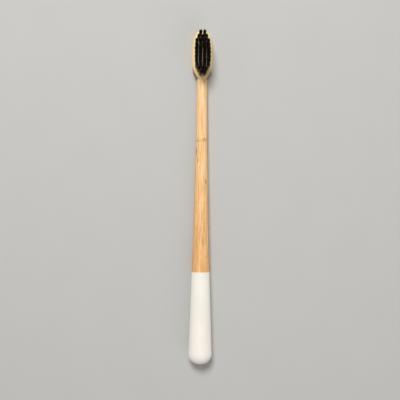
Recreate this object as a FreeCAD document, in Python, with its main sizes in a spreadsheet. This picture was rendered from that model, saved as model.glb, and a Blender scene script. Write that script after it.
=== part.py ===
# Manual toothbrush: a turned bamboo handle with a dipped white end and black bristle tufts on flat anchors.
# It lies on its back as in use on a shelf: +Z out of the bristle face, +Y towards the head, X across.
# The origin is under the middle of its length, on the surface that it lies on. All lengths are millimetres.
import FreeCAD, Part
import math
import os

import Sketcher

# Driving sizes: alias and value. Angles are degrees, and names that end in share are shares.
SIZES = {
    # handle, turned about one axis
    "overall_length": 190.0,
    "butt_diameter": 13.1,
    "butt_flat_diameter": 1.3,
    "shaft_hollow": 0.6,
    "neck_diameter": 5.85,
    "crease_round": 0.5,
    # head, the bulb at the end of the same turning
    "head_length": 27.9,
    "head_width": 12.1,
    "widest_share": 0.548,
    "tip_fullness_share": 0.75,
    "shoulder_run_share": 0.206,
    "shoulder_rise_share": 0.73,
    "side_run_share": 0.553,
    # flats planed on the head's face and back, this far outside the neck
    "flat_step": 0.3,
    "flat_edge_round": 0.3,
    # white coat on the butt
    "coat_length": 52.2,
    "coat_thickness": 0.15,
    "coat_edge_share": 0.6,
    # tuft holes in the face: how far the outer ones lie from its ends and sides, and the wall between two
    "first_row_to_tip": 2.95,
    "last_row_to_neck": 2.55,
    "outer_column_to_side": 2.75,
    "hole_wall": 0.5,
    "hole_depth": 3.4,
    # bristles, with a narrow gap between the trimmed ends of two tufts
    "tuft_length": 10.5,
    "tip_gap": 0.18,
    "fold_thickness": 0.6,
    # anchors, which bite into the wood at both ends
    "anchor_bite": 0.2,
    "anchor_thickness": 0.3,
    "anchor_height": 1.4,
    "anchor_angle": 30.0,
    # how far a cut runs past what it cuts
    "overrun": 2.0,
}

# Tufts in each row, from the tip of the head to the neck.
ROW_COUNTS = (2, 3, 4, 4, 4, 4, 4, 4, 4, 3, 2)

# A full turn in degrees, the weight that all control points of a curve have, and how close counts as level.
FULL_TURN = 360
EVEN_WEIGHT = 1
LEVEL_SHARE = 0.01

# How far along its tangents a quarter turn's inner control points lie, as a share of its radius.
QUARTER_TURN_SHARE = 4 / 3 * (math.sqrt(2) - 1)

# Derived sizes, written with the sheet's aliases. Stations are distances along the axis from the coat's end.
BUTT_ROUND = "((sizes.butt_diameter - sizes.butt_flat_diameter) / 2)"
BUTT_STATION = f"(sizes.coat_thickness + {BUTT_ROUND})"
NECK_STATION = "(sizes.overall_length - sizes.head_length)"
WIDEST_TO_TIP = "(sizes.widest_share * sizes.head_length)"
WIDEST_STATION = f"(sizes.overall_length - {WIDEST_TO_TIP})"
BUTT_FLAT_RADIUS = "(sizes.butt_flat_diameter / 2)"
BUTT_RADIUS = "(sizes.butt_diameter / 2)"
NECK_RADIUS = "(sizes.neck_diameter / 2)"
HALF_WIDTH = "(sizes.head_width / 2)"
HALF_LENGTH = "(sizes.overall_length / 2)"

# The shaft's outline is a parabola that sinks by the hollow below a straight taper from butt to neck.
SHAFT_RUN = f"({NECK_STATION} - {BUTT_STATION})"
SHAFT_FALL = f"({BUTT_RADIUS} - {NECK_RADIUS})"
BUTT_SLOPE = f"(({SHAFT_FALL} + 4 * sizes.shaft_hollow) / {SHAFT_RUN})"

# The axis slopes down to the head, so that the coated butt and the planed back both touch the surface.
NECK_HEIGHT = f"({NECK_RADIUS} + sizes.flat_step)"
BUTT_HEIGHT = f"({BUTT_RADIUS} + sizes.coat_thickness)"
AXIS_SINE = f"(({BUTT_HEIGHT} - {NECK_HEIGHT}) / {SHAFT_RUN})"
LAY_ANGLE = f"asin({AXIS_SINE})"
BUTT_END_HEIGHT = f"({NECK_HEIGHT} + {NECK_STATION} * {AXIS_SINE})"
FACE_HEIGHT = f"(2 * {NECK_HEIGHT})"

# The rows and columns of tufts spread over the head. The closer of the two pitches sets holes and tips.
ROW_GAPS = len(ROW_COUNTS) - 1
COLUMN_GAPS = max(ROW_COUNTS) - 1
ROW_PITCH = f"((sizes.head_length - sizes.first_row_to_tip - sizes.last_row_to_neck) / {ROW_GAPS})"
COLUMN_PITCH = f"((sizes.head_width - 2 * sizes.outer_column_to_side) / {COLUMN_GAPS})"
TUFT_PITCH = f"min({ROW_PITCH}; {COLUMN_PITCH})"
HOLE_DIAMETER = f"({TUFT_PITCH} - sizes.hole_wall)"
TUFT_TIP_DIAMETER = f"({TUFT_PITCH} - sizes.tip_gap)"
ANCHOR_LENGTH = f"({HOLE_DIAMETER} + 2 * sizes.anchor_bite)"

doc = FreeCAD.newDocument("toothbrush")
sheet = doc.addObject("Spreadsheet::Sheet", "sizes")
for line, (alias, number) in enumerate(SIZES.items(), start=1):
    sheet.set(f"A{line}", str(number))
    sheet.setAlias(f"A{line}", alias)
doc.recompute()


def value(expression):
    """The number that an expression over the sheet gives now."""
    result = sheet.evalExpression(expression)
    return float(getattr(result, "Value", result))


def size(alias):
    return value(f"sizes.{alias}")


def point(along, out):
    """A point in a profile: along the handle's axis, and out from it."""
    return FreeCAD.Vector(along, out, 0)


def new_body(label):
    body = doc.addObject("PartDesign::Body", label)
    body.Label = label
    return body


def new_sketch(body, name, role):
    """A sketch on one of the body's own origin planes."""
    sketch = body.newObject("Sketcher::SketchObject", name)
    plane = next(feature for feature in body.Origin.OriginFeatures if feature.Role == role)
    sketch.AttachmentSupport = [(plane, "")]
    sketch.MapMode = "FlatFace"
    return sketch


def relate(sketch, kind, *references):
    sketch.addConstraint(Sketcher.Constraint(kind, *references))


def measure(sketch, expression, kind, *references):
    """A dimension whose value is bound to the sheet."""
    index = sketch.addConstraint(Sketcher.Constraint(kind, *references, value(expression)))
    sketch.setExpression(f"Constraints[{index}]", expression)


# The sketch's own origin and its two axes, and the start, end and centre of a curve in it.
ORIGIN = (-1, 1)
AXIS = -1
UPRIGHT = -2
START, END, CENTRE = 1, 2, 3


def lay_along_axis(sketch):
    """Lay an upright sketch along the sloping axis of the handle, with its origin at the coat's end."""
    slope = FreeCAD.Rotation(FreeCAD.Vector(0, 0, -1), value(LAY_ANGLE))
    sketch.AttachmentOffset = FreeCAD.Placement(FreeCAD.Vector(), slope)
    sketch.setExpression("AttachmentOffset.Rotation.Angle", LAY_ANGLE)
    sketch.setExpression("AttachmentOffset.Base.x", f"-{HALF_LENGTH} * cos({LAY_ANGLE})")
    sketch.setExpression("AttachmentOffset.Base.y", BUTT_END_HEIGHT)


def shaft_radius(station):
    """The bamboo's radius at a station between its end and the neck."""
    part = f"(({station} - {BUTT_STATION}) / {SHAFT_RUN})"
    sag = f"4 * sizes.shaft_hollow * {part} * (1 - {part})"
    return f"({BUTT_RADIUS} - {SHAFT_FALL} * {part} - {sag})"


def shaft_poles(start, stop, cover):
    """Control points of the shaft's outline between two stations, under a cover of this thickness."""
    middle = f"(({start} + {stop}) / 2)"
    first = f"({shaft_radius(start)} + {cover})"
    last = f"({shaft_radius(stop)} + {cover})"
    control = f"(2 * ({shaft_radius(middle)} + {cover}) - ({first} + {last}) / 2)"
    return [(start, first), (middle, control), (stop, last)]


def butt_poles(cover):
    """Control points of the rounded butt, from its small flat end to the shaft, under a cover this thick."""
    end = f"(sizes.coat_thickness - {cover})"
    reach = f"({QUARTER_TURN_SHARE} * ({BUTT_ROUND} + {cover}))"
    side = f"({BUTT_RADIUS} + {cover})"
    return [
        (end, BUTT_FLAT_RADIUS),
        (end, f"({BUTT_FLAT_RADIUS} + {reach})"),
        (f"({BUTT_STATION} - {reach})", f"({side} + {reach} * {BUTT_SLOPE})"),
        (BUTT_STATION, side),
    ]


def shoulder_poles():
    """Control points of the head's outline from the crease at the neck to the widest place."""
    run = f"({WIDEST_STATION} - {NECK_STATION})"
    rise = f"({HALF_WIDTH} - {NECK_RADIUS})"
    rising_station = f"({NECK_STATION} + sizes.shoulder_run_share * {run})"
    rising_radius = f"({NECK_RADIUS} + sizes.shoulder_rise_share * {rise})"
    level_station = f"({WIDEST_STATION} - sizes.side_run_share * {run})"
    return [
        (NECK_STATION, NECK_RADIUS),
        (rising_station, rising_radius),
        (level_station, HALF_WIDTH),
        (WIDEST_STATION, HALF_WIDTH),
    ]


def tip_poles():
    """Control points of the head's outline from the widest place to the tip, which is blunt."""
    level_station = f"({WIDEST_STATION} + sizes.tip_fullness_share * {WIDEST_TO_TIP})"
    return [
        (WIDEST_STATION, HALF_WIDTH),
        (level_station, HALF_WIDTH),
        ("sizes.overall_length", f"(sizes.tip_fullness_share * {HALF_WIDTH})"),
        ("sizes.overall_length", "0"),
    ]


def add_curve(sketch, poles, after=None):
    """A curve with these control points, bound to the sheet. It may go on from the end of another curve."""
    places = [point(value(along), value(out)) for along, out in poles]
    upwards = FreeCAD.Vector(0, 0, 1)
    marks = [sketch.addGeometry(Part.Circle(place, upwards, EVEN_WEIGHT), True) for place in places]
    degree = len(poles) - 1
    curve = sketch.addGeometry(Part.BSplineCurve(places, None, None, False, degree, None, False))
    measure(sketch, str(EVEN_WEIGHT), "Weight", marks[0])
    for mark in marks[1:]:
        relate(sketch, "Equal", marks[0], mark)
    for order, mark in enumerate(marks):
        relate(sketch, "InternalAlignment:Sketcher::BSplineControlPoint", mark, CENTRE, curve, order)
        if mark == marks[0] and after is not None:
            relate(sketch, "Coincident", after, END, curve, START)
        else:
            place_point(sketch, *poles[order], mark, CENTRE)
    return curve


def place_point(sketch, along, out, curve, which):
    """Bind a point's two coordinates to the sheet, or lay it on the axis."""
    if along == "0":
        relate(sketch, "PointOnObject", curve, which, UPRIGHT)
    else:
        measure(sketch, along, "DistanceX", *ORIGIN, curve, which)
    if out == "0":
        relate(sketch, "PointOnObject", curve, which, AXIS)
    else:
        measure(sketch, out, "DistanceY", *ORIGIN, curve, which)


def revolve(body, sketch, name):
    turned = body.newObject("PartDesign::Revolution", name)
    turned.Profile = sketch
    turned.ReferenceAxis = (sketch, ["H_Axis"])
    turned.Angle = FULL_TURN
    doc.recompute()
    return turned


def round_edges(body, base, name, chosen, radius):
    """Round the edges of the base feature that the test picks."""
    names = [f"Edge{n}" for n, edge in enumerate(base.Shape.Edges, start=1) if chosen(edge)]
    rounded = body.newObject("PartDesign::Fillet", name)
    rounded.Base = (base, names)
    rounded.setExpression("Radius", radius)
    doc.recompute()
    return rounded


def station_of(place):
    """How far along the axis, from the coat's end, a place lies."""
    slope = math.radians(value(LAY_ANGLE))
    start = FreeCAD.Vector(0, -value(HALF_LENGTH) * math.cos(slope), value(BUTT_END_HEIGHT))
    forward = FreeCAD.Vector(0, math.cos(slope), -math.sin(slope))
    return (place - start).dot(forward)


def is_ring(station, radius):
    """A test for the round edge that circles the axis at a station, with this radius."""
    near = size("coat_thickness") / 2

    def test(edge):
        if edge.Degenerated or not edge.isClosed() or not isinstance(edge.Curve, Part.Circle):
            return False
        along = abs(station_of(edge.Curve.Center) - value(station))
        return along < near and abs(edge.Curve.Radius - value(radius)) < near

    return test


def lies_at_height(expression):
    """A test for the edges that lie in a level plane."""
    near = LEVEL_SHARE * size("flat_step")
    height = value(expression)
    return lambda edge: (
        abs(edge.BoundBox.ZMin - height) < near and abs(edge.BoundBox.ZMax - height) < near
    )


def handle_profile(body):
    """Half of the handle's outline: the butt, the shaft under the coat and beyond it, and the head."""
    sketch = new_sketch(body, "turned_profile", "YZ_Plane")
    lay_along_axis(sketch)
    butt = add_curve(sketch, butt_poles("0"))
    covered = add_curve(sketch, shaft_poles(BUTT_STATION, "sizes.coat_length", "0"), butt)
    bare = add_curve(sketch, shaft_poles("sizes.coat_length", NECK_STATION, "0"), covered)
    shoulder = add_curve(sketch, shoulder_poles(), bare)
    tip = add_curve(sketch, tip_poles(), shoulder)
    middle_of_end = point(size("coat_thickness"), 0)
    axis_line = sketch.addGeometry(Part.LineSegment(middle_of_end, sketch.getPoint(tip, END)))
    end_line = sketch.addGeometry(Part.LineSegment(middle_of_end, sketch.getPoint(butt, START)))
    relate(sketch, "Coincident", end_line, END, butt, START)
    relate(sketch, "Coincident", tip, END, axis_line, END)
    relate(sketch, "Coincident", axis_line, START, end_line, START)
    place_point(sketch, "sizes.coat_thickness", "0", axis_line, START)
    return sketch


def planed_flat(body, name, height, upwards):
    """Plane the head level at a height, and take away all that lies beyond it."""
    sketch = new_sketch(body, f"{name}_outline", "XY_Plane")
    sketch.setExpression("AttachmentOffset.Base.z", height)
    wide = "(sizes.head_width + 2 * sizes.overrun)"
    deep = "(sizes.head_length + sizes.overrun)"
    rear = f"({HALF_LENGTH} - sizes.head_length)"
    left = -value(wide) / 2
    near = value(rear)
    far = near + value(deep)
    corners = [
        FreeCAD.Vector(left, near, 0),
        FreeCAD.Vector(-left, near, 0),
        FreeCAD.Vector(-left, far, 0),
        FreeCAD.Vector(left, far, 0),
    ]
    sides = [
        sketch.addGeometry(Part.LineSegment(corners[n], corners[(n + 1) % len(corners)]))
        for n in range(len(corners))
    ]
    for n, line in enumerate(sides):
        relate(sketch, "Coincident", line, END, sides[(n + 1) % len(sides)], START)
        relate(sketch, "Horizontal" if n % 2 == 0 else "Vertical", line)
    measure(sketch, wide, "DistanceX", sides[0], START, sides[0], END)
    measure(sketch, deep, "DistanceY", sides[1], START, sides[1], END)
    measure(sketch, f"{wide} / 2", "DistanceX", *ORIGIN, sides[0], END)
    measure(sketch, rear, "DistanceY", *ORIGIN, sides[0], START)
    cut = body.newObject("PartDesign::Pocket", name)
    cut.Profile = sketch
    cut.setExpression("Length", "sizes.head_width")
    cut.Reversed = upwards
    doc.recompute()
    return cut


def tuft_places():
    """Each tuft's row and place in the row, counted from one, and where its axis stands."""
    for row, count in enumerate(ROW_COUNTS):
        for place in range(count):
            across = f"({place - (count - 1) / 2} * {COLUMN_PITCH})"
            along = f"({HALF_LENGTH} - sizes.first_row_to_tip - {row} * {ROW_PITCH})"
            yield row + 1, place + 1, across, along


def tuft_holes(body):
    """Blind holes for all tufts, drilled into the face."""
    sketch = new_sketch(body, "hole_places", "XY_Plane")
    sketch.setExpression("AttachmentOffset.Base.z", FACE_HEIGHT)
    first = None
    for _, _, across, along in tuft_places():
        centre = FreeCAD.Vector(value(across), value(along), 0)
        circle = Part.Circle(centre, FreeCAD.Vector(0, 0, 1), value(HOLE_DIAMETER) / 2)
        ring = sketch.addGeometry(circle)
        measure(sketch, across, "DistanceX", *ORIGIN, ring, CENTRE)
        measure(sketch, along, "DistanceY", *ORIGIN, ring, CENTRE)
        if first is None:
            first = ring
            measure(sketch, HOLE_DIAMETER, "Diameter", ring)
        else:
            relate(sketch, "Equal", first, ring)
    holes = body.newObject("PartDesign::Pocket", "tuft_holes")
    holes.Profile = sketch
    holes.setExpression("Length", "sizes.hole_depth")
    doc.recompute()
    return holes


def turned_handle():
    """The bamboo as it is turned, planed and drilled, before the anchors bite into it."""
    body = new_body("turned_handle")
    turned = revolve(body, handle_profile(body), "turning")
    crease_ring = is_ring(NECK_STATION, NECK_RADIUS)
    round_edges(body, turned, "crease_rounding", crease_ring, "sizes.crease_round")
    planed_flat(body, "face_flat", FACE_HEIGHT, True)
    back = planed_flat(body, "back_flat", "0", False)
    on_face = lies_at_height(FACE_HEIGHT)
    on_back = lies_at_height("0")
    round_edges(
        body, back, "flat_edges", lambda edge: on_face(edge) or on_back(edge), "sizes.flat_edge_round"
    )
    tuft_holes(body)
    return body


def anchor_corner(across, along):
    """Where the corner of an anchor lies when its middle stands on a tuft's axis."""
    half_long = f"{ANCHOR_LENGTH} / 2"
    half_thick = "sizes.anchor_thickness / 2"
    turn = "(sizes.anchor_angle * 1 deg)"
    corner_x = f"{across} - {half_long} * cos({turn}) + {half_thick} * sin({turn})"
    corner_y = f"{along} - {half_long} * sin({turn}) - {half_thick} * cos({turn})"
    return corner_x, corner_y


def shape_anchor(box, across, along, bottom):
    """Give a box the size and place of an anchor."""
    corner_x, corner_y = anchor_corner(across, along)
    box.setExpression("Length", ANCHOR_LENGTH)
    box.setExpression("Width", "sizes.anchor_thickness")
    box.setExpression("Height", "sizes.anchor_height")
    turn = FreeCAD.Rotation(FreeCAD.Vector(0, 0, 1), size("anchor_angle"))
    box.Placement = FreeCAD.Placement(FreeCAD.Vector(), turn)
    box.setExpression("Placement.Rotation.Angle", "sizes.anchor_angle * 1 deg")
    box.setExpression("Placement.Base.x", corner_x)
    box.setExpression("Placement.Base.y", corner_y)
    box.setExpression("Placement.Base.z", bottom)


def staple_anchors():
    """One flat plate across each hole, above the fold of its tuft."""
    plates = []
    bottom = f"{FACE_HEIGHT} - sizes.hole_depth + sizes.fold_thickness"
    for row, place, across, along in tuft_places():
        plate = doc.addObject("Part::Box", f"anchor_row{row:02d}_{place}")
        shape_anchor(plate, across, along, bottom)
        plates.append(plate)
    anchors = doc.addObject("Part::Compound", "staple_anchors")
    anchors.Label = "staple_anchors"
    anchors.Links = plates
    doc.recompute()
    return anchors


def bristle_tuft(row, place, across, along):
    """One tuft: its root fills the hole round the anchor, and its bristles flare to the trimmed end."""
    body = new_body(f"tuft_row{row:02d}_{place}")
    root = body.newObject("PartDesign::AdditiveCylinder", "root")
    root.setExpression("Radius", f"{HOLE_DIAMETER} / 2")
    root.setExpression("Height", "sizes.hole_depth")
    bristles = body.newObject("PartDesign::AdditiveCone", "bristles")
    bristles.setExpression("Radius1", f"{HOLE_DIAMETER} / 2")
    bristles.setExpression("Radius2", f"{TUFT_TIP_DIAMETER} / 2")
    bristles.setExpression("Height", "sizes.tuft_length")
    bristles.setExpression("Placement.Base.z", "sizes.hole_depth")
    seat = body.newObject("PartDesign::SubtractiveBox", "anchor_seat")
    shape_anchor(seat, "0", "0", "sizes.fold_thickness")
    body.setExpression("Placement.Base.x", across)
    body.setExpression("Placement.Base.y", along)
    body.setExpression("Placement.Base.z", f"{FACE_HEIGHT} - sizes.hole_depth")
    return body


def cut_away(label, base, tool):
    """What is left of a piece where another one takes up its room."""
    left = doc.addObject("Part::Cut", label)
    left.Label = label
    left.Base = base
    left.Tool = tool
    doc.recompute()
    return left


def coat_profile(body):
    """Half of the coat's outline: a thin cup whose inside is the outline of the bamboo in it."""
    sketch = new_sketch(body, "coat_profile", "YZ_Plane")
    lay_along_axis(sketch)
    inner_butt = add_curve(sketch, butt_poles("0"))
    inner_side = add_curve(sketch, shaft_poles(BUTT_STATION, "sizes.coat_length", "0"), inner_butt)
    outer_butt = add_curve(sketch, butt_poles("sizes.coat_thickness"))
    outer_poles = shaft_poles(BUTT_STATION, "sizes.coat_length", "sizes.coat_thickness")
    outer_side = add_curve(sketch, outer_poles, outer_butt)
    ends = [point(0, 0), point(size("coat_thickness"), 0)]
    axis_line = sketch.addGeometry(Part.LineSegment(*ends))
    place_point(sketch, "0", "0", axis_line, START)
    place_point(sketch, "sizes.coat_thickness", "0", axis_line, END)
    for butt, end, which in ((outer_butt, ends[0], START), (inner_butt, ends[1], END)):
        end_line = sketch.addGeometry(Part.LineSegment(end, sketch.getPoint(butt, START)))
        relate(sketch, "Coincident", end_line, START, axis_line, which)
        relate(sketch, "Coincident", end_line, END, butt, START)
    brim_ends = [sketch.getPoint(side, END) for side in (inner_side, outer_side)]
    brim_line = sketch.addGeometry(Part.LineSegment(*brim_ends))
    relate(sketch, "Coincident", brim_line, START, inner_side, END)
    relate(sketch, "Coincident", brim_line, END, outer_side, END)
    return sketch


def dip_coat():
    """The white coat, with a softly rounded brim."""
    body = new_body("dip_coat")
    cup = revolve(body, coat_profile(body), "dipping")
    brim_radius = f"({shaft_radius('sizes.coat_length')} + sizes.coat_thickness)"
    brim_ring = is_ring("sizes.coat_length", brim_radius)
    round_edges(body, cup, "brim_rounding", brim_ring, "sizes.coat_edge_share * sizes.coat_thickness")
    return body


anchors = staple_anchors()
handle = cut_away("bamboo_handle", turned_handle(), anchors)
coat = dip_coat()
tufts = [bristle_tuft(*place) for place in tuft_places()]
pieces = [handle, coat, anchors, *tufts]

doc.recompute()
for item in doc.Objects:
    if "Invalid" in item.State or "Error" in item.State:
        raise RuntimeError(f"{item.Label} failed: {item.State}")
for piece in pieces:
    if piece.Shape.isNull() or not piece.Shape.isValid():
        raise RuntimeError(f"{piece.Label} has no valid shape")

os.makedirs("parts", exist_ok=True)
for piece in pieces:
    piece.Shape.exportStep(f"parts/{piece.Label}.step")
    print(f"{piece.Label}: {len(piece.Shape.Solids)} solids, {piece.Shape.Volume:.3f} mm3")
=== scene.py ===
import math
import random

import bpy
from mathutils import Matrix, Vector


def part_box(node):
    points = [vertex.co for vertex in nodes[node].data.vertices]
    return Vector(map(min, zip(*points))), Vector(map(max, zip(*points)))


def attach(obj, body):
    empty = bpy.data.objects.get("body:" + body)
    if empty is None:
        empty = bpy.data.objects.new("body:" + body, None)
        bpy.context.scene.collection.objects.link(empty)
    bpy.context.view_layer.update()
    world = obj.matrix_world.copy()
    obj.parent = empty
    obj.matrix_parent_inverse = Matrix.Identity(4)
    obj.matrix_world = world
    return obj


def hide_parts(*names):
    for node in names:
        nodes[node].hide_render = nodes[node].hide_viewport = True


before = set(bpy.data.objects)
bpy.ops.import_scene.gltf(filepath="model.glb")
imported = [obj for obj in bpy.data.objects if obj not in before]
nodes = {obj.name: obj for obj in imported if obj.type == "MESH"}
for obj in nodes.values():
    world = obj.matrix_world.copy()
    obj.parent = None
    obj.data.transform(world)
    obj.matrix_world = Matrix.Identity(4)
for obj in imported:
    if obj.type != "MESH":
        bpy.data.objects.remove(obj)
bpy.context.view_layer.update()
MM = 0.001

# Nodes of a material


class Shader:
    """A material built from nodes, with short calls for the nodes that it uses most."""

    def __init__(self, name):
        self.material = bpy.data.materials.new(name)
        self.material.use_nodes = True
        self.tree = self.material.node_tree
        self.surface = self.tree.nodes["Principled BSDF"]

    def node(self, kind, **settings):
        made = self.tree.nodes.new(kind)
        for key, setting in settings.items():
            setattr(made, key, setting)
        return made

    def feed(self, socket, source):
        """Link a socket to another node's output, or set it to a plain value."""
        if isinstance(source, bpy.types.NodeSocket):
            self.tree.links.new(source, socket)
        else:
            socket.default_value = source

    def set(self, **inputs):
        """Feed the surface's sockets by name, with spaces written as underscores."""
        for key, source in inputs.items():
            self.feed(self.surface.inputs[key.replace("_", " ")], source)

    def place(self):
        """Where a point of the surface is, in metres."""
        return self.node("ShaderNodeTexCoord").outputs["Object"]

    def facing(self):
        """Which way the surface faces, on the object's own axes."""
        return self.node("ShaderNodeTexCoord").outputs["Normal"]

    def stretched(self, place, scale, offset=(0, 0, 0)):
        mapping = self.node("ShaderNodeMapping")
        self.feed(mapping.inputs["Vector"], place)
        mapping.inputs["Scale"].default_value = scale
        mapping.inputs["Location"].default_value = offset
        return mapping.outputs["Vector"]

    def noise(self, place, scale, detail=2.0, roughness=0.5, output="Fac"):
        noise = self.node("ShaderNodeTexNoise")
        self.feed(noise.inputs["Vector"], place)
        noise.inputs["Scale"].default_value = scale
        noise.inputs["Detail"].default_value = detail
        noise.inputs["Roughness"].default_value = roughness
        return noise.outputs[output]

    def vector(self, operation, *sources):
        made = self.node("ShaderNodeVectorMath", operation=operation)
        for socket, source in zip(made.inputs, sources):
            self.feed(socket, source)
        return made.outputs["Value" if operation == "LENGTH" else "Vector"]

    def warped(self, place, wander, reach):
        """Places shifted to and fro by a colour noise, by at most about half the reach on each axis."""
        shift = self.vector("SUBTRACT", wander, (0.5, 0.5, 0.5))
        return self.vector("ADD", place, self.vector("MULTIPLY", shift, reach))

    def cells(self, across, up, scale):
        """How far each point lies from the nearest of many scattered lines that run along Y."""
        flat = self.node("ShaderNodeCombineXYZ")
        self.feed(flat.inputs["X"], across)
        self.feed(flat.inputs["Y"], up)
        cells = self.node("ShaderNodeTexVoronoi", voronoi_dimensions="2D")
        self.feed(cells.inputs["Vector"], flat.outputs["Vector"])
        cells.inputs["Scale"].default_value = scale
        return cells.outputs["Distance"]

    def between(self, source, low, high, start=0.0, stop=1.0):
        """Lead a number that goes from low to high smoothly from start to stop, and hold it beyond."""
        ranged = self.node("ShaderNodeMapRange", interpolation_type="SMOOTHSTEP")
        self.feed(ranged.inputs["Value"], source)
        ranged.inputs["From Min"].default_value = low
        ranged.inputs["From Max"].default_value = high
        ranged.inputs["To Min"].default_value = start
        ranged.inputs["To Max"].default_value = stop
        return ranged.outputs["Result"]

    def math(self, operation, *sources):
        made = self.node("ShaderNodeMath", operation=operation)
        for socket, source in zip(made.inputs, sources):
            self.feed(socket, source)
        return made.outputs["Value"]

    def mix(self, share, first, second):
        """A colour between two others."""
        mixed = self.node("ShaderNodeMix", data_type="RGBA")
        self.feed(mixed.inputs["Factor"], share)
        self.feed(mixed.inputs["A"], first)
        self.feed(mixed.inputs["B"], second)
        return next(out for out in mixed.outputs if out.type == "RGBA")

    def mix_places(self, share, first, second):
        """A place between two others. Sockets go by number, since the node has several of each name."""
        mixed = self.node("ShaderNodeMix", data_type="VECTOR")
        self.feed(mixed.inputs["Factor"], share)
        self.feed(mixed.inputs[4], first)
        self.feed(mixed.inputs[5], second)
        return mixed.outputs[1]

    def parts(self, place):
        """The X, Y and Z of a place or direction."""
        split = self.node("ShaderNodeSeparateXYZ")
        self.feed(split.inputs["Vector"], place)
        return split.outputs

    def bump(self, height, strength, distance):
        made = self.node("ShaderNodeBump")
        self.feed(made.inputs["Height"], height)
        made.inputs["Strength"].default_value = strength
        made.inputs["Distance"].default_value = distance
        return made.outputs["Normal"]


def rgb(red, green, blue):
    """A colour from its screen values of 0 to 255."""
    def linear(level):
        share = level / 255
        return share / 12.92 if share <= 0.04045 else ((share + 0.055) / 1.055) ** 2.4
    return (linear(red), linear(green), linear(blue), 1.0)


def spot(shader, place, centre, radii):
    """One at the middle of an ellipsoid, falling to nothing at its skin. Sizes are in millimetres."""
    shifted = shader.vector("SUBTRACT", place, tuple(MM * number for number in centre))
    scaled = shader.vector("DIVIDE", shifted, tuple(MM * number for number in radii))
    return shader.between(shader.vector("LENGTH", scaled), 1.0, 0.3)


# Stretches along the brush over which the wood turns warmer towards the coat and paler towards the head;
# the paler head is painted light that lifts its rim out of the shade of the tufts.
WARMING = (50 * MM, -40 * MM)
PAINTED_HEAD_LIGHT = (62 * MM, 80 * MM)

# The bamboo's node: where it is, how near to it the grain is stirred, and how near it is ringed.
NODE_PLACE = 32.4 * MM
NODE_STIR = (6.0 * MM, 0.5 * MM)
NODE_RING = (1.5 * MM, 0.2 * MM)

# How far below its brim the paint starts to thin, and where it is thinnest.
THINNING = (1.6 * MM, 0.1 * MM)

# Natural marks on top of the shaft: middle and reach in millimetres, strength, and whether it is dark.
MARKS = (
    ((1.45, 32.8, 7.2), (0.42, 1.7, 2.0), 0.75, True),
    ((0.85, 31.3, 7.4), (0.75, 0.5, 2.0), 0.6, True),
    ((-2.2, 31.6, 6.6), (1.2, 0.6, 2.0), 0.5, True),
    ((-0.7, 31.7, 7.4), (0.45, 0.5, 2.0), 0.6, True),
    ((0.0, 34.4, 7.4), (0.5, 0.9, 2.0), 0.6, False),
    ((-2.05, 20.6, 7.4), (0.36, 2.6, 2.0), 0.7, True),
    ((-1.5, 19.0, 7.6), (0.42, 2.0, 2.0), 0.75, False),
    ((-2.9, 25.8, 6.2), (0.6, 4.2, 2.4), 0.6, True),
    ((2.55, 8.6, 7.2), (0.5, 1.9, 2.2), 0.6, True),
)


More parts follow.
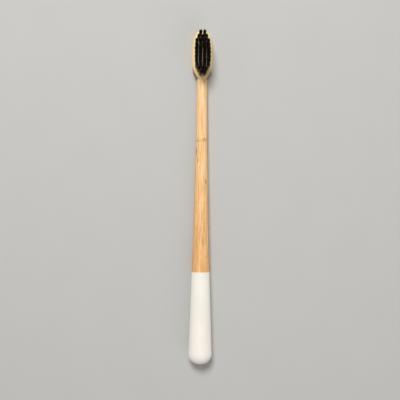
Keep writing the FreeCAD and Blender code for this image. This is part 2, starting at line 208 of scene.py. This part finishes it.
def bamboo():
    """Straw-coloured bamboo: fibre bundles in a paler ground, a faint node, warmer near the coat."""
    shader = Shader("bamboo_waxed")
    place = shader.place()
    axes = shader.parts(place)
    from_node = shader.math("ABSOLUTE", shader.math("SUBTRACT", axes["Y"], NODE_PLACE))
    near_node = shader.between(from_node, *NODE_STIR)

    drift = shader.noise(shader.stretched(place, (1.0, 0.35, 1.0)), 110.0, 1.0, 0.5, "Color")
    knot = shader.noise(place, 420.0, 2.0, 0.5, "Color")
    calm = shader.warped(place, drift, (0.4 * MM, 0.0, 0.4 * MM))
    stirred = shader.warped(calm, knot, (1.6 * MM, 0.0, 1.6 * MM))
    grain = shader.mix_places(near_node, calm, stirred)
    grain_axes = shader.parts(grain)

    bundles = shader.between(shader.cells(grain_axes["X"], grain_axes["Z"], 1350.0), 0.38, 0.15)
    long_grain = shader.stretched(grain, (1.0, 0.006, 1.0), (0.3, 0.1, 0.7))
    streaks = shader.noise(long_grain, 1700.0, 2.0, 0.6)
    fibres = shader.noise(shader.stretched(grain, (1.0, 0.02, 1.0)), 3600.0, 3.0, 0.6)
    pores = shader.noise(shader.stretched(grain, (1.0, 0.07, 1.0), (0.5, 0.2, 0.1)), 5200.0, 1.0, 0.5)
    cloud = shader.noise(shader.stretched(place, (1.0, 0.22, 1.0), (0.9, 0.4, 0.2)), 130.0, 2.0, 0.5)

    towards_coat = shader.between(axes["Y"], *WARMING)
    colour = shader.mix(towards_coat, rgb(244, 206, 150), rgb(236, 186, 122))
    colour = shader.mix(shader.between(cloud, 0.38, 0.68, 0.0, 0.4), colour, rgb(246, 196, 144))
    # The head turns paler: painted light.
    head_light_share = shader.between(axes["Y"], *PAINTED_HEAD_LIGHT, 0.0, 0.85)
    colour = shader.mix(head_light_share, colour, rgb(255, 229, 174))
    colour = shader.mix(shader.between(streaks, 0.5, 0.66, 0.0, 0.55), colour, rgb(214, 156, 90))
    colour = shader.mix(shader.between(streaks, 0.46, 0.3, 0.0, 0.5), colour, rgb(252, 220, 168))
    bundle_share = shader.math("MULTIPLY", bundles, shader.between(fibres, 0.3, 0.7, 0.2, 0.7))
    stronger = shader.between(axes["Y"], *WARMING, 0.5, 1.45)
    bundle_share = shader.math("MULTIPLY", bundle_share, stronger)
    colour = shader.mix(bundle_share, colour, rgb(192, 130, 68))
    colour = shader.mix(shader.between(fibres, 0.55, 0.72, 0.0, 0.5), colour, rgb(180, 120, 66))
    colour = shader.mix(shader.between(pores, 0.66, 0.76, 0.0, 0.55), colour, rgb(150, 98, 54))

    # The head is paler still, a painted light against the shade of its tufts, and its grain is fainter.
    colour = shader.mix(shader.math("MULTIPLY", head_light_share, 0.6), colour, rgb(255, 224, 166))

    # Flanks that face the butt, away from the key light, are darker: partly the cut fibres of end grain on
    # the shoulder, partly painted shade.
    facing = shader.parts(shader.facing())
    facing_butt_share = shader.between(facing["Y"], -0.06, -0.4, 0.0, 0.9)
    end_grain_and_painted_shade = shader.math("MULTIPLY", facing_butt_share, shader.between(facing["Z"], 0.8, 0.35))
    colour = shader.mix(end_grain_and_painted_shade, colour, rgb(118, 76, 43))

    ring = shader.between(from_node, *NODE_RING, 0.0, 0.4)
    ring = shader.math("MULTIPLY", ring, shader.between(cloud, 0.35, 0.65))
    colour = shader.mix(ring, colour, rgb(176, 120, 66))
    fray = shader.noise(place, 900.0, 2.0, 0.6, "Color")
    ragged = shader.warped(place, fray, (0.9 * MM, 0.9 * MM, 0.0))
    for centre, radii, strength, is_dark in MARKS:
        share = shader.math("MULTIPLY", spot(shader, ragged, centre, radii), strength)
        colour = shader.mix(share, colour, rgb(150, 96, 50) if is_dark else rgb(255, 226, 176))

    height = shader.math("MULTIPLY", fibres, 0.7)
    height = shader.math("SUBTRACT", height, shader.between(pores, 0.64, 0.78))
    height = shader.math("ADD", height, shader.math("MULTIPLY", bundles, 0.35))
    shader.set(Base_Color=colour, Roughness=shader.between(fibres, 0.3, 0.7, 0.46, 0.6))
    shader.set(Specular_IOR_Level=0.4, Diffuse_Roughness=0.12)
    shader.set(Normal=shader.bump(height, 0.35, 0.04 * MM))
    return shader.material


def white_paint():
    """Satin paint from dipping: nearly white, warmer at its thin brim, with a faint orange peel."""
    shader = Shader("white_dip_paint")
    place = shader.place()
    axes = shader.parts(place)
    tone = shader.noise(shader.stretched(place, (1.0, 0.4, 1.0)), 90.0, 3.0, 0.5)
    peel = shader.noise(place, 1400.0, 2.0, 0.5)
    grain = shader.noise(shader.stretched(place, (1.0, 0.02, 1.0)), 2200.0, 2.0, 0.5)
    nibs = shader.noise(place, 2600.0, 0.0, 0.5)
    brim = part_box("dip_coat")[1].y
    thin = shader.between(axes["Y"], *(brim - below for below in THINNING))
    colour = shader.mix(shader.between(tone, 0.35, 0.65), rgb(241, 236, 226), rgb(237, 231, 221))
    colour = shader.mix(shader.math("MULTIPLY", thin, 0.55), colour, rgb(244, 226, 202))
    colour = shader.mix(shader.between(nibs, 0.78, 0.84, 0.0, 0.35), colour, rgb(212, 205, 194))
    height = shader.math("MULTIPLY", peel, 0.6)
    height = shader.math("ADD", height, shader.math("MULTIPLY", grain, 0.25))
    height = shader.math("ADD", height, shader.between(nibs, 0.76, 0.86))
    shader.set(Base_Color=colour, Roughness=shader.between(peel, 0.3, 0.7, 0.4, 0.5))
    shader.set(Specular_IOR_Level=0.45, Diffuse_Roughness=0.3)
    shader.set(Normal=shader.bump(height, 0.12, 0.03 * MM))
    return shader.material


def nylon():
    """Black nylon with a soft shine, each filament with its own slight tone."""
    shader = Shader("black_nylon")
    tone = shader.node("ShaderNodeAttribute", attribute_name="tone").outputs["Fac"]
    drawn = shader.noise(shader.stretched(shader.place(), (1.0, 1.0, 0.03)), 9000.0, 1.0, 0.5)
    colour = shader.mix(tone, rgb(4, 3, 2), rgb(18, 12, 8))
    shader.set(Base_Color=colour, Roughness=shader.between(drawn, 0.3, 0.7, 0.34, 0.46))
    shader.set(Specular_IOR_Level=0.45)
    return shader.material


def brass():
    """Sheared brass strip with fine drawing lines."""
    shader = Shader("brass_strip")
    place = shader.place()
    lines = shader.noise(shader.stretched(place, (1.0, 1.0, 0.05)), 9000.0, 2.0, 0.5)
    colour = shader.mix(shader.between(lines, 0.35, 0.65), rgb(204, 168, 96), rgb(176, 138, 70))
    shader.set(Base_Color=colour, Metallic=1.0, Roughness=shader.between(lines, 0.3, 0.7, 0.3, 0.45))
    shader.set(Normal=shader.bump(lines, 0.2, 0.02 * MM))
    return shader.material


def cover_node(name, material):
    """Give a CAD node one material all over."""
    slots = nodes[name].data.materials
    if not slots:
        slots.append(material)
    for index in range(len(slots)):
        slots[index] = material


# Bristles: how many stand in a tuft, their girth, where in the hole they start, how they lean, and how far
# chance shifts a tuft, a tip, a filament's bow and its trimmed length.
# A level is how far up a filament it lies and how much of the girth is left there.

FILAMENTS = 66
FILAMENT_RADIUS = 0.097 * MM
SIDES = 6
GOLDEN_ANGLE = math.pi * (3 - math.sqrt(5))
SHOWN_DEPTH = 1.7 * MM
HOLE_RADIUS = 0.85 * MM
LEVELS = ((0.0, 1.0), (0.16, 1.0), (0.4, 1.0), (0.7, 1.0), (0.984, 1.0), (0.994, 0.82), (1.0, 0.4))
FIELD_LEAN = Vector((0.25, 0.0, 0.0)) * MM
FRONT_LEAN = Vector((0.0, 0.2, 0.0)) * MM
NECK_LEAN = Vector((0.0, -0.1, 0.0)) * MM
SIDE_LEAN_SHARE = 0.15
SIDE_DROP_SHARE = 0.16
FULL_ROWS = (3, 9)
TIP_SPREAD = (1.0, 1.25)
OPENING_POWER = 1.4
TUFT_SHIFT = 0.07 * MM
TIP_SHIFT = 0.04 * MM
BOW_SHIFT = 0.03 * MM
TRIM_SHIFT = 0.05 * MM
MOST_TRIMMED = 0.2 * MM
FIRST_SEED = 7100


def add_filament(points, faces, tones, foot, tip, bow, tone):
    """A bent rod with a rounded end, which stands straight in its hole and opens outwards above it."""
    first = len(points)
    for share, girth in LEVELS:
        spread = share ** OPENING_POWER
        middle = Vector((
            foot.x + (tip.x - foot.x) * spread + bow.x * 4 * share * (1 - share),
            foot.y + (tip.y - foot.y) * spread + bow.y * 4 * share * (1 - share),
            foot.z + (tip.z - foot.z) * share,
        ))
        for side in range(SIDES):
            turn = 2 * math.pi * side / SIDES
            out = Vector((math.cos(turn), math.sin(turn), 0)) * FILAMENT_RADIUS * girth
            points.append(middle + out)
            tones.append(tone)
    for level in range(len(LEVELS) - 1):
        for side in range(SIDES):
            here = first + level * SIDES + side
            beside = first + level * SIDES + (side + 1) % SIDES
            faces.append((here, beside, beside + SIDES, here + SIDES))
    top = first + (len(LEVELS) - 1) * SIDES
    faces.append(tuple(first + side for side in reversed(range(SIDES))))
    faces.append(tuple(top + side for side in range(SIDES)))


def tuft_lean(node, across):
    """How far a tuft's tips lean: a little right, to the sides in the middle rows, and out at both ends."""
    row = int(node[len("tuft_row"):len("tuft_row") + 2])
    first, last = FULL_ROWS
    from_middle = min(1.0, abs(2 * row - first - last) / (last - first))
    side = across * (SIDE_LEAN_SHARE - SIDE_DROP_SHARE * from_middle ** 2)
    lean = FIELD_LEAN + Vector((side, 0, 0))
    if row < first:
        return lean + FRONT_LEAN / row
    if row > last:
        return lean + NECK_LEAN
    return lean


def shift_by_chance(chance, reach):
    """A random shift across the brush and along it."""
    return Vector((chance.gauss(0, reach), chance.gauss(0, reach), 0))


def bristle_tuft(node, order, material):
    """A bundle of filaments that stands in a hole and opens a little towards its trimmed end."""
    chance = random.Random(FIRST_SEED + order)
    low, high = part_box(node)
    centre = (low + high) / 2
    half_tip = (high.x - low.x) / 2 - FILAMENT_RADIUS
    foot_reach = HOLE_RADIUS - FILAMENT_RADIUS
    lean = tuft_lean(node, centre.x) + shift_by_chance(chance, TUFT_SHIFT)
    turn = chance.uniform(0, 2 * math.pi)
    points, faces, tones = [], [], []
    for count in range(FILAMENTS):
        share = math.sqrt((count + 0.5) / FILAMENTS)
        angle = turn + count * GOLDEN_ANGLE
        out = Vector((math.cos(angle), math.sin(angle), 0))
        foot = Vector((centre.x, centre.y, low.z + SHOWN_DEPTH)) + out * foot_reach * share
        jitter = shift_by_chance(chance, TIP_SHIFT)
        short = min(abs(chance.gauss(0, TRIM_SHIFT)), MOST_TRIMMED)
        spread = Vector((out.x * TIP_SPREAD[0], out.y * TIP_SPREAD[1], 0)) * half_tip * share
        tip = Vector((centre.x, centre.y, high.z - short)) + spread + lean + jitter
        bow = shift_by_chance(chance, BOW_SHIFT)
        add_filament(points, faces, tones, foot, tip, bow, chance.random())
    mesh = bpy.data.meshes.new("filaments_" + node)
    mesh.from_pydata(points, [], faces)
    mesh.shade_smooth()
    tone = mesh.attributes.new("tone", "FLOAT", "POINT")
    tone.data.foreach_set("value", tones)
    mesh.materials.append(material)
    piece = bpy.data.objects.new("filaments_" + node, mesh)
    bpy.context.scene.collection.objects.link(piece)
    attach(piece, "root")
    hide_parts(node)


# Floor, light and camera. A lamp has its place, width and power. The lens is in plain millimetres.

FLOOR_HALF = 4.0
FLOOR_DROP = 0.02 * MM
WORLD_STRENGTH = 0.3
KEY_LAMP = ((-0.1, 0.42, 0.8), 0.35, 6.9)
FILL_LAMP = ((0.35, -0.6, 0.55), 0.9, 1.8)
CAMERA_PLACE = (-0.67 * MM, -1.79 * MM, 540 * MM)
CAMERA_ROLL = math.radians(0.457)
FOCAL_LENGTH = 84.48
SENSOR_WIDTH = 36.0


def pale_floor():
    """A plain floor just under the brush."""
    shader = Shader("pale_floor")
    grain = shader.noise(shader.place(), 40.0, 3.0, 0.5)
    colour = shader.mix(grain, rgb(184, 183, 180), rgb(188, 187, 184))
    shader.set(Base_Color=colour, Roughness=0.9)
    mesh = bpy.data.meshes.new("floor")
    corners = [(x * FLOOR_HALF, y * FLOOR_HALF, 0) for x, y in ((-1, -1), (1, -1), (1, 1), (-1, 1))]
    mesh.from_pydata(corners, [], [(0, 1, 2, 3)])
    mesh.materials.append(shader.material)
    floor = bpy.data.objects.new("floor", mesh)
    floor.location.z = -FLOOR_DROP
    bpy.context.scene.collection.objects.link(floor)


def soft_box(name, place, width, power):
    """A round lamp that points at the brush's middle."""
    light = bpy.data.lights.new(name, "AREA")
    light.shape = "DISK"
    light.size = width
    light.energy = power
    lamp = bpy.data.objects.new(name, light)
    lamp.location = place
    lamp.rotation_euler = (-Vector(place)).to_track_quat("-Z", "Y").to_euler()
    bpy.context.scene.collection.objects.link(lamp)


def studio():
    """An even world, a soft key light from the head's end, on the left, and a weak fill opposite."""
    world = bpy.data.worlds.new("studio")
    world.use_nodes = True
    world.node_tree.nodes["Background"].inputs["Color"].default_value = (1.0, 1.0, 1.0, 1.0)
    world.node_tree.nodes["Background"].inputs["Strength"].default_value = WORLD_STRENGTH
    bpy.context.scene.world = world
    soft_box("key", *KEY_LAMP)
    soft_box("fill", *FILL_LAMP)


def photo_camera():
    """Straight above the brush and a little off its middle, with the brush leaning slightly right."""
    lens = bpy.data.cameras.new("camera")
    lens.sensor_width = SENSOR_WIDTH
    lens.lens = FOCAL_LENGTH
    lens.clip_start = 0.01
    camera = bpy.data.objects.new("camera", lens)
    camera.location = CAMERA_PLACE
    camera.rotation_euler = (0, 0, CAMERA_ROLL)
    bpy.context.scene.collection.objects.link(camera)
    bpy.context.scene.camera = camera


# The dressed brush

cover_node("bamboo_handle", bamboo())
cover_node("dip_coat", white_paint())
cover_node("staple_anchors", brass())
black = nylon()
for order, name in enumerate(sorted(name for name in nodes if name.startswith("tuft_"))):
    bristle_tuft(name, order, black)
pale_floor()
studio()
photo_camera()
bpy.context.scene.view_settings.view_transform = "Standard"
